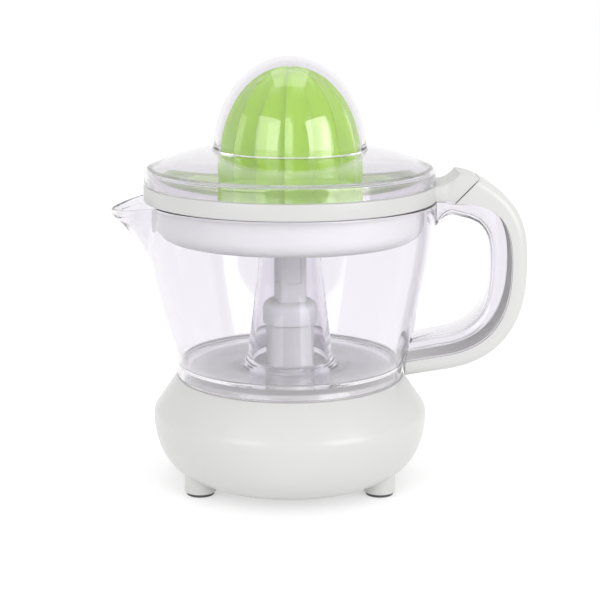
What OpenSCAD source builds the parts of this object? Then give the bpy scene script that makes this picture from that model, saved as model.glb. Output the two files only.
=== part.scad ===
// Electric citrus press: a juice jug with a strainer, a ribbed reamer and a dust cover,
// standing on a motor base. Millimetres, +Z up. The origin is the spindle axis at the
// level the feet stand on; the spout points along -X and the handle along +X.

/* [Base] */
// Greatest radius of the base housing
base_r = 68.5; // [62:0.5:84]
// Height of the deck that the jug stands on
base_h = 54.5; // [50:0.5:66]
// Radius of the housing at the deck
deck_r = 56.4; // [52:0.2:60]
// Wall of the housing
base_wall = 2.4; // [1.8:0.1:3.2]
// Height of the underside above the floor
base_clearance = 4.5; // [4:0.5:7]
// Distance of each leg from the middle plane, along X
leg_x = 44; // [40:0.5:47]
// Distance of each leg from the middle plane, along Y
leg_y = 27; // [24:0.5:30]
// Radius of a leg
leg_r = 7.8; // [7:0.2:9]
// Height of the rubber that shows under a leg
foot_pad_h = 1.5; // [1:0.25:3]
// Radius of the hole for the mains lead
inlet_r = 4.2; // [3:0.1:5.5]
// Height of the hole for the mains lead
inlet_z = 22; // [18:1:28]

/* [Jug] */
// Radius of the jug at its rim
jug_r = 71.6; // [64:0.2:88]
// Height of the jug, from the deck to the rim
jug_h = 88; // [76:1:110]
// Wall of the jug
jug_wall = 2.2; // [1.6:0.1:2.8]
// Height of the jug's foot ring
jug_foot_h = 5.5; // [4:0.5:8]
// Radius of the column in the jug, at its top
column_r = 14.6; // [13.5:0.1:15.5]
// Radius of the column in the jug, at the floor
column_foot_r = 21.5; // [19:0.5:25]
// How far the spout's lip stands out from the rim
spout_reach = 16; // [10:1:22]
// How far the spout's lip lies below the rim
spout_dip = 5; // [3:0.5:7]

/* [Handle] */
// How far the handle stands out from the rim
handle_reach = 44.5; // [38:0.5:56]
// Width of the grip
handle_w = 25; // [22:1:30]
// Thickness of the handle from the outside to the finger gap
handle_t = 18.5; // [17:0.5:20]
// Thickness of the grip on the handle's upright part
grip_t = 7.5; // [6:0.5:9]
// Wall of the grip and of the handle
handle_wall = 2.4; // [1.8:0.2:3]

/* [Strainer] */
// Height of the rim that shows between the jug and the cover
ring_h = 8; // [6:0.5:11]
// How far the basket hangs below the jug's rim
basket_depth = 18.5; // [16:0.5:24]
// Wall of the basket
strainer_wall = 2; // [1.6:0.1:2.4]
// Number of slots in the basket's floor
slot_count = 30; // [20:1:36]
// Width of a slot
slot_w = 1.8; // [1.2:0.1:2.4]

/* [Reamer] */
// Radius of the reamer at its foot
cone_r = 35.4; // [30:0.2:43]
// Height of the reamer
cone_h = 65; // [54:1:78]
// Wall of the reamer
cone_wall = 2; // [1.6:0.1:2.4]
// Number of long ribs; a short one stands between each pair
rib_count = 8; // [6:1:10]
// How far the ribs stand out of the reamer's body
rib_h = 2; // [1.4:0.1:2.4]

/* [Cover] */
// Wall of the dust cover
cover_wall = 1.8; // [1.4:0.1:2.2]
// Height of the cover's upright rim
skirt_h = 7; // [6:0.5:10]
// Rise of the cover from its rim to the foot of its dome
shoulder_h = 9; // [7:0.5:11]
// Free space between the reamer and the dome over it
dome_gap = 3; // [2:0.5:6]

/* [Spindle] */
// Radius of the drive spindle above its collar
spindle_r = 8.3; // [7.5:0.1:8.6]
// Distance between the flats on the spindle
spindle_flats = 13.6; // [12.4:0.1:14]
// Radius of the tower that the spindle turns in
tower_r = 12; // [11.6:0.1:12.4]
// Height of the tower over the deck
tower_h = 32.5; // [28:0.5:40]
// How far the spindle goes down when fruit is pressed on it
press_travel = 2.5; // [1.5:0.1:3]
// Radius of the motor's output shaft
shaft_r = 3.5; // [3:0.1:4]
// Radius of the return spring's wire
spring_wire_r = 0.45; // [0.3:0.05:0.5]
// Turns of the return spring
spring_turns = 7; // [5:1:8]

/* [Motor] */
// Radius of the motor's can
can_r = 25; // [24:0.5:27]
// Height of the motor's can
can_h = 22; // [21:0.5:24]
// Tooth size (module) of the gears
gear_module = 0.6; // [0.5:0.05:0.65]
// Teeth of a pinion
pinion_teeth = 12; // [12:2:14]
// Teeth of a wheel
wheel_teeth = 30; // [26:2:32]
// Distance of each motor screw from the shaft
ear_reach = 30; // [29:0.5:32]

/* [Switch] */
// Distance from the shaft to the lever's pivot
lever_arm = 34; // [33:0.5:36]
// Distance from the shaft to the switch's button
button_x = 20.4; // [19:0.2:21]

/* [Hidden] */

// Clearances: between pieces that part, and of a turning fit
gap = 0.3;
running = 0.05;
// Overlap that makes a cut run clean through a face
cut = 1;
// Sides of a round surface, and points on a curved outline
$fn = 96;
curve_steps = 7;

// Base heights and radii that follow from the sizes above
crease_z = base_h - 18.5;
deck_t = 2.5;
deck_z = base_h - deck_t;
base_bottom_z = base_clearance + 1.5;
base_foot_r = base_r - 16.5;
bottom_t = 2.5;
bottom_r = base_foot_r - base_wall - gap;
plateau_r = deck_r - 5.4;
plateau_h = 3;
screw_r = 1.5;
screw_head_r = 2.8;
cover_screw_r = 42;
cover_screw_angles = [45, 135, 225, 315];
post_r = 4;
post_z = base_clearance + 4.8;
ceiling_z = deck_z + plateau_h;
foot_plug_r = leg_r - 2.4;
foot_plug_h = 2.5;
inlet_wall = 2.4;

// Jug
jug_z = base_h + gap;
rim_z = base_h + jug_h;
floor_z = jug_z + jug_foot_h;
floor_t = 2.2;
jug_foot_r = deck_r - 0.4;
column_top_z = rim_z - 8;
beak_top_w = 60;
beak_h = 30;
beak_r = 4;

// Strainer
ring_r = jug_r - 0.2;
ring_z = rim_z + gap;
ring_top_z = rim_z + ring_h;
basket_r = jug_r - 6;
basket_z = rim_z - basket_depth;
basket_corner = 8;
hub_in_r = column_r + 1.4;
hub_top_z = rim_z - 2.5;

// Reamer: its foot stands just over the strainer's hub
cone_z = rim_z - 0.8;
cone_top_z = cone_z + cone_h;
cone_body_r = cone_r - rib_h;
cone_power = 2.3;
cone_side_z = cone_z + 11.5;
rib_turn = -4;
web_t = 1.6;
socket_r = spindle_r + gap;
socket_out_r = socket_r + 2;
socket_bottom_z = rim_z - 22;

// Cover
cover_z = ring_top_z + gap;
cover_r = jug_r - 0.5;
cover_edge_z = cover_z + skirt_h;
cover_edge_r = 3;
dome_r = cone_r + 1.9;
dome_base_z = cover_edge_z + shoulder_h;
dome_fillet = 2;
dome_top_z = cone_top_z + dome_gap + cover_wall;

// Handle curves, from the strainer's side round to the jug's foot
handle_x = jug_r + handle_reach;
grip_gap = 0.1;
tab_top_z = ring_top_z + 6;
seam_low = [jug_r + 8.3, rim_z - 1];
seam_high = [jug_r + 20.2, ring_top_z + 3.3];

// Spindle, upwards from the end of its tube
tube_r = 7.9;
tube_z = deck_z - 3.5;
pocket_r = 5.9;
pocket_top_z = base_h + 7.5;
tower_z = base_h + tower_h;
tower_wall = 2;
collar_wall = 1.2;
collar_r = tower_r + 0.5 + collar_wall;
collar_z = tower_z - 6;
collar_top_z = tower_z + 5;
spindle_top_z = rim_z + 7.5;
ledge_z = collar_top_z + 8;
flat_turn = 17.5;
recess_w = 7.2;
recess_depth = 0.6;
shaft_top_z = base_h + 43.5;
shaft_flat_y = shaft_r - 1;
circlip_z = deck_z - 1.35;
circlip_t = 0.9;
circlip_groove_r = 7.2;
washer_t = 0.8;
washer_z = circlip_z - gap - washer_t;

// Motor, built down from the deck
gear_cover_t = 1.2;
gear_cover_z = deck_z - 18.2;
can_z = gear_cover_z - can_h;
can_wall = 1;
seat_z = gear_cover_z + 6.5;
spring_bottom_z = seat_z + 1;
spring_r = 4.85;
gear_plate_z = gear_cover_z - 11.2;
gear_plate_t = 1;
wheel_t = 2.6;
first_gear_z = gear_plate_z + gear_plate_t + 0.5;
second_gear_z = first_gear_z + wheel_t + 0.5;
second_gear_t = 4.2;
gear_distance = gear_module * (pinion_teeth + wheel_teeth) / 2;
axle_r = 1;
rotor_r = 12.5;
backlash = 0.12;

// Switch
lever_z = deck_z - 5.8;
lever_t = 2;
lever_nub_h = washer_z - gap - (lever_z + lever_t);
lever_ring_r = 13;
lever_w = 5.2;
pivot_z = lever_z + 2.2;
switch_w = 6.4;
switch_l = 20;
switch_z = gear_cover_z + gear_cover_t + gap;
switch_top_z = lever_z - 1.2;
button_r = 1.2;
button_top_z = lever_z + 0.5 - gap;
switch_hole_r = 1.15;
switch_hole_y = 4.75;
switch_hole_z = switch_z + 3;
switch_back_x = button_x + switch_w / 2;
block_y = base_foot_r - 7;
block_z = base_clearance + bottom_t + gap;
block_d = 10;
block_h = 9;
block_in = 4;
wire_r = 0.8;

// ---------- helpers ----------

// Points of a cubic curve from a to d, with b and c as its handles
function bezier(a, b, c, d, n = curve_steps) =
    [for (i = [0:n]) let (t = i / n, s = 1 - t)
        s * s * s * a + 3 * s * s * t * b + 3 * s * t * t * c + t * t * t * d];

// Points of a circular arc
function arc(x, y, r, from, to, n = curve_steps) =
    [for (i = [0:n]) let (a = from + (to - from) * i / n) [x + r * cos(a), y + r * sin(a)]];

function reversed(list) = [for (i = [len(list) - 1:-1:0]) list[i]];

// The same outline moved sideways, to the left of its direction of travel
function beside(p, d) =
    [for (i = [0:len(p) - 1])
        let (u = p[min(i + 1, len(p) - 1)] - p[max(i - 1, 0)],
             v = u / norm(u))
        p[i] + d * [-v[1], v[0]]];

module tube(r, inner, h) {
    difference() {
        cylinder(r = r, h = h);
        translate([0, 0, -cut]) cylinder(r = inner, h = h + 2 * cut);
    }
}

// A screw standing head down, its head's underside at the origin
module screw(shank_r, head_r, head_h, length) {
    difference() {
        translate([0, 0, -head_h]) cylinder(r = head_r, h = head_h);
        translate([-head_r, -0.3, -head_h - cut]) cube([2 * head_r, 0.6, cut + 0.6]);
    }
    cylinder(r = shank_r, h = length);
}

module four_legs() {
    for (x = [-leg_x, leg_x], y = [-leg_y, leg_y])
        translate([x, y, 0]) children();
}

module cover_screw_places() {
    for (a = cover_screw_angles)
        rotate(a) translate([cover_screw_r, 0, 0]) children();
}

module ear_places() {
    for (s = [-1, 1])
        translate([0, s * ear_reach, 0]) children();
}

// An outline in X and Z given a width along Y
module upright(points, width) {
    rotate([90, 0, 0]) linear_extrude(height = width, center = true) polygon(points);
}

// ---------- base ----------

flare_end = [base_r - 2.2, crease_z + 5.2];
base_outline = concat([[deck_r, base_h]],
    bezier(flare_end, [base_r - 0.3, crease_z + 2.7], [base_r + 0.1, crease_z],
           [base_r - 0.3, crease_z - 4], 4),
    bezier([base_r - 0.9, crease_z - 9], [base_r - 2.5, crease_z - 19],
           [base_r - 8, base_bottom_z + 2.5], [base_foot_r, base_bottom_z]));

module base_housing() {
    color("white") difference() {
        union() {
            difference() {
                rotate_extrude() polygon(concat([[0, base_h]], base_outline, [[0, base_bottom_z]]));
                rotate_extrude() polygon(concat([[0, deck_z], [deck_r - base_wall, deck_z]],
                    [for (p = base_outline) if (p[1] < deck_z) [p[0] - base_wall, p[1]]],
                    [[base_foot_r - base_wall, base_bottom_z - cut], [0, base_bottom_z - cut]]));
                translate([0, 0, deck_z - cut]) cylinder(r = plateau_r - base_wall, h = deck_t + 2 * cut);
            }
            translate([0, 0, ceiling_z]) cylinder(r = plateau_r, h = deck_t);
            translate([0, 0, deck_z]) tube(plateau_r, plateau_r - base_wall, plateau_h);
            translate([0, 0, deck_z]) cylinder(r = tower_r, h = tower_z - deck_z);
            four_legs() translate([0, 0, foot_pad_h]) cylinder(r = leg_r, h = 12);
            cover_screw_places()
                translate([0, 0, post_z]) cylinder(r = post_r, h = ceiling_z - post_z);
            ear_places() translate([0, 0, gear_cover_z + gear_cover_t])
                cylinder(r = post_r, h = ceiling_z - gear_cover_z - gear_cover_t);
            switch_ribs();
            pivot_lugs();
            translate([0, base_foot_r - 1, inlet_z]) rotate([-90, 0, 0])
                cylinder(r = inlet_r + inlet_wall, h = base_r - base_foot_r - 2.5);
        }
        // the spindle's way through the tower and the deck
        translate([0, 0, base_h]) cylinder(r = tower_r - tower_wall, h = tower_h + cut);
        translate([0, 0, deck_z - cut]) cylinder(r = tube_r + 0.4, h = deck_t + 2 * cut);
        four_legs() translate([0, 0, foot_pad_h - cut]) cylinder(r = foot_plug_r, h = foot_plug_h + cut);
        cover_screw_places() translate([0, 0, base_clearance]) cylinder(r = screw_r, h = 18);
        ear_places() translate([0, 0, gear_cover_z]) cylinder(r = screw_r, h = 12);
        translate([0, base_foot_r - 1 - cut, inlet_z]) rotate([-90, 0, 0])
            cylinder(r = inlet_r, h = base_r - base_foot_r + 6);
    }
}

// Two ribs that the switch is screwed to, with the lever passing between them
module switch_ribs() {
    for (s = [-1, 1]) difference() {
        translate([switch_back_x, s > 0 ? 3.3 : -12, switch_z + 0.6])
            cube([2.6, 8.7, ceiling_z - switch_z - 0.6]);
        translate([switch_back_x - cut, s * switch_hole_y, switch_hole_z]) rotate([0, 90, 0])
            cylinder(r = switch_hole_r, h = 2.6 + 2 * cut, $fn = 32);
    }
}

// Two lugs under the deck that hold the lever's pin
module pivot_lugs() {
    for (s = [-1, 1]) difference() {
        translate([lever_arm - 3, s > 0 ? 3.6 : -6.6, pivot_z - 3]) cube([6, 3, ceiling_z - pivot_z + 3]);
        translate([lever_arm, s * 5.1, pivot_z]) rotate([90, 0, 0])
            cylinder(r = axle_r, h = 3 + 2 * cut, center = true, $fn = 32);
    }
}

module bottom_cover() {
    color("white") difference() {
        union() {
            translate([0, 0, base_clearance]) cylinder(r = bottom_r, h = bottom_t);
            cover_screw_places() translate([0, 0, base_clearance]) cylinder(r = post_r + 1, h = 4.5);
        }
        four_legs() translate([0, 0, base_clearance - cut])
            cylinder(r = leg_r + gap, h = bottom_t + 2 * cut);
        cover_screw_places() {
            translate([0, 0, base_clearance - cut]) cylinder(r = screw_head_r + 0.4, h = 2.2 + cut);
            translate([0, 0, base_clearance]) cylinder(r = screw_r + 0.2, h = 10);
        }
        // cooling slots
        for (s = [-1, 1], i = [-3:3])
            translate([i * 5 - 1, s * 14 - 7, base_clearance - cut]) cube([2, 14, bottom_t + 2 * cut]);
    }
}

module rubber_feet() {
    color("dimgray") four_legs() {
        cylinder(r = leg_r - 1, h = foot_pad_h);
        cylinder(r = foot_plug_r, h = foot_pad_h + foot_plug_h);
    }
}

module cover_screws() {
    color("silver") cover_screw_places() translate([0, 0, base_clearance + 2.2])
        screw(screw_r, screw_head_r, 1.8, 12);
}

// ---------- jug ----------

jug_side = bezier([jug_foot_r, floor_z + 0.6], [jug_foot_r + 6.1, floor_z + 18.7],
                  [jug_r, rim_z - 38.5], [jug_r, rim_z - 10.5]);
jug_inside = [for (p = jug_side) [p[0] - jug_wall, p[1]]];

// The spout: a beak whose ridge runs from its tip down to the jug's side
module beak(shrink) {
    hull() {
        translate([-jug_r - spout_reach + beak_r, 0, rim_z - spout_dip - 2 + shrink])
            cylinder(r = beak_r - shrink, h = 12, $fn = 32);
        for (s = [-1, 1]) translate([-jug_r + 8, s * (beak_top_w / 2 - beak_r), rim_z - 8 + shrink])
            cylinder(r = beak_r - shrink, h = 20, $fn = 32);
        translate([-jug_r + 11, 0, rim_z - beak_h - 2]) sphere(r = 7 - shrink, $fn = 32);
    }
}

// Everything under the rim, and under the slanted plane that the lip is trimmed to
module below_lip() {
    slope = atan(spout_dip / (spout_reach + 2));
    intersection() {
        translate([-jug_r + 2, 0, rim_z]) rotate([0, -slope, 0])
            translate([-60, -60, -60]) cube([120, 120, 60]);
        translate([-jug_r - 40, -60, rim_z - 60]) cube([120, 120, 60]);
    }
}

module jug() {
    color([0.9, 0.89, 0.93, 0.4]) {
        difference() {
            union() {
                rotate_extrude() polygon(concat([[0, jug_z + 3.5], [jug_foot_r, jug_z + 3.5]], jug_side,
                    [[jug_r, rim_z], [0, rim_z]]));
                translate([0, 0, jug_z]) cylinder(r = jug_foot_r, h = jug_foot_h);
                intersection() {
                    beak(0);
                    below_lip();
                }
            }
            rotate_extrude() polygon(concat(
                [[0, floor_z + floor_t], [jug_foot_r - jug_wall, floor_z + floor_t]],
                [for (p = jug_inside) if (p[1] > floor_z + floor_t) p],
                [[jug_r - jug_wall, rim_z + cut], [0, rim_z + cut]]));
            intersection() {
                beak(jug_wall);
                translate([-jug_r - 40, -60, rim_z - beak_h - 12]) cube([80, 120, beak_h + 12 + cut]);
            }
            translate([0, 0, jug_z - cut]) cylinder(r = plateau_r + gap, h = floor_z - jug_z + cut);
            translate([0, 0, floor_z - cut]) cylinder(r = column_foot_r - jug_wall, h = floor_t + 2 * cut);
        }
        rotate_extrude() polygon([[column_foot_r, floor_z], [column_foot_r, floor_z + floor_t],
            [column_r + 1, floor_z + 50], [column_r, column_top_z],
            [column_r - jug_wall, column_top_z], [column_r + 1 - jug_wall, floor_z + 50],
            [column_foot_r - jug_wall, floor_z]]);
        jug_handle();
    }
}

// ---------- handle ----------

grip_outer = concat(
    bezier(seam_high, [jug_r + 37.6, rim_z + 1.5], [handle_x + 0.1, rim_z - 8.5],
           [handle_x, rim_z - 30.5]),
    bezier([handle_x, rim_z - 38.5], [handle_x, rim_z - 66.5], [handle_x - 16.1, rim_z - 81],
           [handle_x - 40.9, jug_z + 3.4]),
    [[jug_foot_r + 1, jug_z + 0.3]]);
grip_inner = concat(
    bezier(seam_low, [jug_r + 28.4, rim_z - 0.5], [handle_x - 8, rim_z - 8.5],
           [handle_x - grip_t, rim_z - 30.5]),
    [for (p = beside([for (q = grip_outer) if (q[1] < rim_z - 32) q], -grip_t)) p]);

module handle_grip() {
    inner_wall = beside(grip_outer, -handle_wall);
    color("white") difference() {
        upright(concat(grip_outer, reversed(grip_inner)), handle_w);
        upright(concat(inner_wall, reversed(grip_inner)), handle_w - 2 * handle_wall);
    }
}

// The clear part runs from the jug's rim, under the thumb rest, round to the jug's foot
module jug_handle() {
    root_x = jug_r - 1;
    under_tab = [[root_x, rim_z - 0.2], [jug_r + 3.4, rim_z - 0.2], seam_low - [0.3, 0.6]];
    root = [[jug_r + 7.5, rim_z - 7], [jug_r + 3.5, rim_z - 8.2], [jug_r + 0.7, rim_z - 11.7],
        [root_x, rim_z - 14]];
    along = [for (i = [1:len(grip_inner) - 1]) grip_inner[i]];
    upright(concat(under_tab, along, reversed(beside(grip_outer, -handle_t)), root), handle_w - 3);
}

// ---------- strainer ----------

module strainer() {
    floor_top = basket_z + strainer_wall;
    color("white") {
        difference() {
            union() {
                translate([0, 0, ring_z]) cylinder(r = ring_r, h = ring_top_z - ring_z);
                rotate_extrude() polygon(concat([[0, basket_z]],
                    arc(basket_r - basket_corner, basket_z + basket_corner, basket_corner, -90, 0),
                    [[basket_r, ring_z + 1], [0, ring_z + 1]]));
                tab();
            }
            rotate_extrude() polygon(concat([[0, floor_top]],
                arc(basket_r - basket_corner, basket_z + basket_corner,
                    basket_corner - strainer_wall, -90, 0),
                [[basket_r - strainer_wall, ring_z + 1], [ring_r - 2.8, ring_z + 2.5],
                 [ring_r - 2.8, ring_top_z + cut], [0, ring_top_z + cut]]));
            translate([0, 0, basket_z - cut]) cylinder(r = hub_in_r, h = strainer_wall + 2 * cut);
            for (i = [0:slot_count - 1], k = [0, 1])
                rotate(i * 360 / slot_count) translate([23 + k * 16, -slot_w / 2, basket_z - cut])
                    cube([14, slot_w, strainer_wall + 2 * cut]);
        }
        translate([0, 0, basket_z]) tube(hub_in_r + strainer_wall, hub_in_r, hub_top_z - basket_z);
    }
}

// Thumb rest that bridges from the strainer's rim to the grip
module tab() {
    upright(concat([[ring_r - 2, ring_z], [ring_r - 2, ring_top_z], [cover_r + gap, ring_top_z]],
        bezier([jug_r + 0.4, ring_top_z + 0.6], [jug_r + 4, ring_top_z + 0.9],
               [jug_r + 7.5, ring_top_z + 2.8], [jug_r + 9.9, tab_top_z]),
        bezier([jug_r + 13, tab_top_z - 0.4], [jug_r + 15, tab_top_z - 0.8],
               [jug_r + 17, tab_top_z - 1.5], seam_high + [-0.45, 0]),
        [seam_low + [-0.45, 0], [seam_low[0] - 4, ring_z]]), handle_w);
}

// ---------- reamer ----------

// Radius of the reamer's body at a share u of its height
function cone_radius(u, r) = r * sqrt(1 - pow(u, cone_power));
function cone_outline(r, z0, z1, n) =
    [for (i = [0:n]) let (u = sin(90 * i / n)) [cone_radius(u, r), z0 + (z1 - z0) * u]];

module rib(length_share) {
    top = cone_outline(cone_r, cone_side_z, cone_top_z, 12);
    count = round(12 * length_share);
    rotate([90, 0, 0]) linear_extrude(height = 2, center = true)
        polygon(concat([[cone_body_r - 3, cone_z], [cone_r, cone_z]],
            [for (i = [0:count]) top[i]],
            [for (i = [count:-1:0]) [max(top[i][0] - 4, 0), top[i][1] - 3]]));
}

module reamer_cone() {
    color([0.6, 0.85, 0.15, 0.75]) difference() {
        rotate(rib_turn) {
            difference() {
                union() {
                    rotate_extrude() polygon(concat([[0, cone_z], [cone_body_r, cone_z]],
                        cone_outline(cone_body_r, cone_side_z, cone_top_z - 1, 10)));
                    translate([0, 0, cone_z]) cylinder(r = cone_r, h = 2);
                    for (i = [0:rib_count - 1]) {
                        rotate(i * 360 / rib_count) rib(1);
                        rotate((i + 0.5) * 360 / rib_count) rib(0.75);
                    }
                }
                rotate_extrude() polygon(concat(
                    [[0, cone_z - cut], [cone_body_r - cone_wall, cone_z - cut]],
                    cone_outline(cone_body_r - cone_wall, cone_side_z, cone_top_z - 1 - cone_wall, 10)));
            }
            translate([0, 0, socket_bottom_z])
                cylinder(r = socket_out_r, h = spindle_top_z + 14 - socket_bottom_z);
            // webs that carry the socket
            for (a = [0:90:270]) rotate(a) intersection() {
                translate([socket_out_r - 1, -web_t / 2, cone_z + 2])
                    cube([cone_r, web_t, cone_h]);
                rotate_extrude() polygon(concat([[0, cone_z], [cone_body_r - 1, cone_z]],
                    cone_outline(cone_body_r - 1, cone_side_z, cone_top_z - 2, 10)));
            }
        }
        translate([0, 0, socket_bottom_z - cut]) linear_extrude(spindle_top_z + 1.5 - socket_bottom_z + cut)
            spindle_outline(gap);
    }
}

// Round spindle with four flats, grown all round
module spindle_outline(grow) {
    intersection() {
        circle(r = spindle_r + grow);
        rotate(flat_turn) square(spindle_flats + 2 * grow, center = true);
    }
}

// ---------- cover ----------

function dome_outline(r, top, n) =
    [for (i = [0:n]) let (a = 90 * i / n) [r * cos(a), dome_base_z - 2 + (top - dome_base_z + 2) * sin(a)]];

module cover_shape(inset) {
    edge_z = cover_edge_z + 1;
    rotate_extrude() polygon(concat(
        [[0, cover_z - (inset > 0 ? cut : 0)], [cover_r - inset, cover_z - (inset > 0 ? cut : 0)]],
        arc(cover_r - cover_edge_r, edge_z - cover_edge_r, cover_edge_r - inset, 0, 68, 4),
        bezier([cover_r - 8, edge_z + 2.2 - inset], [cover_r - 16, edge_z + 5.5 - inset],
               [dome_r + 10, dome_base_z - 0.6 - inset], [dome_r + dome_fillet, dome_base_z - inset]),
        [for (p = dome_outline(dome_r - inset, dome_top_z - inset, 10))
            if (p[1] > dome_base_z - inset + dome_fillet) p]));
}

module dust_cover() {
    color([0.9, 0.89, 0.93, 0.35]) {
        difference() {
            cover_shape(0);
            cover_shape(cover_wall);
        }
        // lip that centres the cover in the strainer's rim
        translate([0, 0, cover_z - 3]) tube(ring_r - 3.2, ring_r - 4.8, cover_edge_z - cover_z + 4.2);
    }
}

// ---------- drive ----------

// Bore that slides on the shaft and its flat
module shaft_outline(grow) {
    difference() {
        circle(r = shaft_r + grow);
        translate([-shaft_r - 1, shaft_flat_y + grow]) square([2 * shaft_r + 2, shaft_r]);
    }
}

module output_shaft() {
    flat_z = seat_z + 1.5;
    foot_z = second_gear_z - 0.5;
    color("silver") difference() {
        translate([0, 0, foot_z]) cylinder(r = shaft_r, h = shaft_top_z - foot_z);
        translate([-shaft_r - 1, shaft_flat_y, flat_z])
            cube([2 * shaft_r + 2, shaft_r, shaft_top_z - flat_z + cut]);
        translate([0, 0, foot_z - cut]) cylinder(r = axle_r + running, h = 3 + cut, $fn = 32);
        translate([0, 0, seat_z - 0.85]) tube(shaft_r + 1, shaft_r - 0.5, 0.8);
    }
}

module drive_spindle() {
    color("white") difference() {
        union() {
            translate([0, 0, tube_z]) cylinder(r = tube_r, h = collar_top_z - tube_z);
            rotate_extrude() polygon(concat([[0, collar_z], [collar_r, collar_z]],
                arc(collar_r - 4, collar_top_z - 4, 4, 0, 90), [[0, collar_top_z]]));
            translate([0, 0, collar_top_z - 1]) linear_extrude(spindle_top_z - collar_top_z + 1)
                spindle_outline(0);
        }
        // skirt over the tower
        translate([0, 0, collar_z - cut])
            tube(collar_r - collar_wall, tube_r, tower_z - collar_z + press_travel + 0.5 + cut);
        // pocket for the spring, and the bore that slides on the shaft
        translate([0, 0, tube_z - cut]) cylinder(r = pocket_r, h = pocket_top_z - tube_z + cut);
        translate([0, 0, tube_z]) linear_extrude(shaft_top_z + press_travel + 1 - tube_z)
            shaft_outline(running);
        translate([0, 0, circlip_z]) tube(tube_r + 1, circlip_groove_r, circlip_t);
        // shallow recess in each flat
        for (a = [0:90:270]) rotate(a + flat_turn)
            translate([spindle_flats / 2 - recess_depth, -recess_w / 2, ledge_z])
                cube([2, recess_w, spindle_top_z - ledge_z - 3]);
    }
}

module spindle_circlip() {
    color("silver") translate([0, 0, circlip_z]) difference() {
        tube(tube_r + 2.4, circlip_groove_r, circlip_t);
        translate([0, -2, -cut]) cube([tube_r + 4, 4, circlip_t + 2 * cut]);
    }
}

module thrust_washer() {
    color("ivory") translate([0, 0, washer_z]) tube(12, tube_r + gap, washer_t);
}

module spring_seat() {
    color("silver") translate([0, 0, seat_z]) tube(spring_r + 0.8, shaft_r + running, 1);
}

module shaft_clip() {
    color("silver") translate([0, 0, seat_z - 0.85]) difference() {
        tube(shaft_r + 2.2, shaft_r - 0.5, 0.8);
        translate([0, -1.5, -cut]) cube([shaft_r + 4, 3, 0.8 + 2 * cut]);
    }
}

// Coil spring swept along its helix, with closed end turns
module return_spring() {
    per_turn = 20;
    sides = 8;
    rings = spring_turns * per_turn;
    low = spring_bottom_z + spring_wire_r + 0.02;
    high = pocket_top_z - spring_wire_r - 0.02;
    function height(k) =
        let (t = k / per_turn, n = spring_turns, pitch_share = (min(max(t - 1, 0), n - 2)) / (n - 2),
             end_rise = 2 * spring_wire_r + 0.05)
        low + end_rise * (min(t, 1) + max(t - n + 1, 0)) + (high - low - 2 * end_rise) * pitch_share;
    points = [for (k = [0:rings], j = [0:sides - 1])
        let (a = k * 360 / per_turn, b = j * 360 / sides, r = spring_r + spring_wire_r * cos(b))
        [r * cos(a), r * sin(a), height(k) + spring_wire_r * sin(b)]];
    faces = concat(
        [[for (j = [0:sides - 1]) j]],
        [for (k = [0:rings - 1], j = [0:sides - 1])
            let (next = (j + 1) % sides, above = (k + 1) * sides)
            [k * sides + j, above + j, above + next, k * sides + next]],
        [[for (j = [sides - 1:-1:0]) rings * sides + j]]);
    color("silver") polyhedron(points, faces);
}

// ---------- switch ----------

module switch_lever() {
    color("ivory") {
        translate([0, 0, lever_z]) tube(lever_ring_r, tube_r + 0.7, lever_t);
        for (s = [-1, 1]) translate([0, s * 10.2, lever_z + lever_t])
            cylinder(r = 1, h = lever_nub_h, $fn = 32);
        difference() {
            union() {
                translate([lever_ring_r - 3, -lever_w / 2, lever_z + 0.5])
                    cube([lever_arm - lever_ring_r + 3, lever_w, lever_t - 0.5]);
                translate([lever_ring_r + 1, -1, lever_z + 1]) cube([lever_arm - lever_ring_r - 1, 2, 2.5]);
                translate([lever_arm, 0, pivot_z]) rotate([90, 0, 0])
                    cylinder(r = 2.6, h = 2 * 3.3, center = true, $fn = 48);
            }
            translate([lever_arm, 0, pivot_z]) rotate([90, 0, 0])
                cylinder(r = axle_r + running, h = 10, center = true, $fn = 48);
        }
    }
}

module lever_pin() {
    color("silver") translate([lever_arm, 0, pivot_z]) rotate([90, 0, 0])
        cylinder(r = axle_r, h = 14, center = true, $fn = 32);
}

module microswitch() {
    color("black") difference() {
        translate([button_x - switch_w / 2, -switch_l / 2, switch_z])
            cube([switch_w, switch_l, switch_top_z - switch_z]);
        for (s = [-1, 1]) translate([button_x, s * switch_hole_y, switch_hole_z]) rotate([0, 90, 0])
            cylinder(r = switch_hole_r + 0.1, h = switch_w + 2, center = true, $fn = 32);
        translate([button_x, 0, switch_top_z - 3]) cylinder(r = button_r + running, h = 3 + cut, $fn = 32);
    }
}

module switch_button() {
    color("red") translate([button_x, 0, switch_top_z - 1.4])
        cylinder(r = button_r, h = button_top_z - switch_top_z + 1.4, $fn = 32);
}

module switch_terminals() {
    color("gold") for (y = [-switch_l / 2 - 5, switch_l / 2])
        translate([button_x - 1.6, y, switch_z + 5.5]) cube([3.2, 5, 0.6]);
}

module switch_screws() {
    color("silver") for (s = [-1, 1])
        translate([button_x - switch_w / 2, s * switch_hole_y, switch_hole_z]) rotate([0, 90, 0])
            screw(switch_hole_r, 2, 1.4, switch_w + 2.4);
}

// ---------- wiring ----------

module terminal_block() {
    color("ivory") translate([0, block_y - block_d / 2, block_z]) difference() {
        translate([-10, -block_d / 2, 0]) cube([20, block_d, block_h]);
        for (s = [-1, 1]) translate([s * 5, 0, block_in]) {
            rotate([90, 0, 0]) cylinder(r = 1.8, h = block_d + 2 * cut, center = true, $fn = 32);
            cylinder(r = 1.5, h = block_h, $fn = 32);
        }
    }
}

module terminal_screws() {
    color("silver") for (s = [-1, 1])
        translate([s * 5, block_y - block_d / 2, block_z + block_in + wire_r])
            cylinder(r = 1.5, h = 3, $fn = 32);
}

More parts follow.
